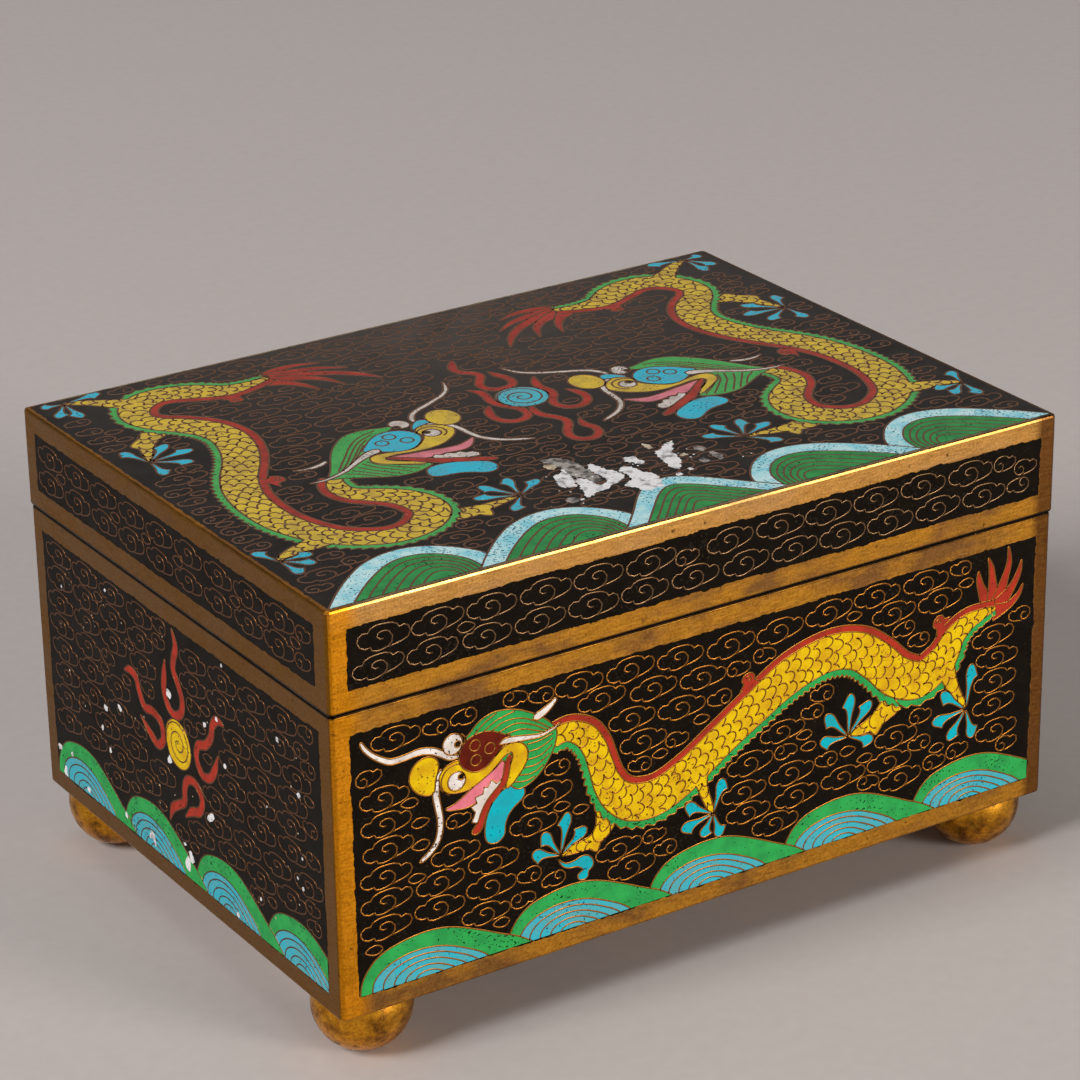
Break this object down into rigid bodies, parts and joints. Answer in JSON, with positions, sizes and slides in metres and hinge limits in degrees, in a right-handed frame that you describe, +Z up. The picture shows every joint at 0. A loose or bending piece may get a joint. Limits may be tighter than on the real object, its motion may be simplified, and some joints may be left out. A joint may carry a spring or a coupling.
{
  "type": "cloisonne enamel box",
  "caption": "Rectangular brass box on ball feet with a lift-off lid, its walls and lid set with flush cloisonne enamel panels.",
  "frame": {"origin": "under the middle of the box, on the plane that its four feet stand on", "axes": "+X to the right along the long front, +Y from the front to the back, +Z up"},
  "size_m": [0.125, 0.091, 0.0718],
  "materials": {
    "gilt_brass": "brushed sheet brass with worn gilding, tarnished brown in places, bright on the worn edges",
    "black_cloud_enamel": "polished black cloisonne enamel ground with fine wire clouds and coloured enamels, small pits"
  },
  "bodies": {
    "root": {"base_shell": "gilt_brass", "lid_shell": "gilt_brass", "foot_front_left": "gilt_brass", "foot_front_right": "gilt_brass", "foot_back_left": "gilt_brass", "foot_back_right": "gilt_brass", "base_enamel_front": "black_cloud_enamel", "base_enamel_back": "black_cloud_enamel", "base_enamel_left": "black_cloud_enamel", "base_enamel_right": "black_cloud_enamel", "lid_enamel_top": "black_cloud_enamel", "lid_enamel_front": "black_cloud_enamel", "lid_enamel_back": "black_cloud_enamel", "lid_enamel_left": "black_cloud_enamel", "lid_enamel_right": "black_cloud_enamel"}
  },
  "joints": []
}
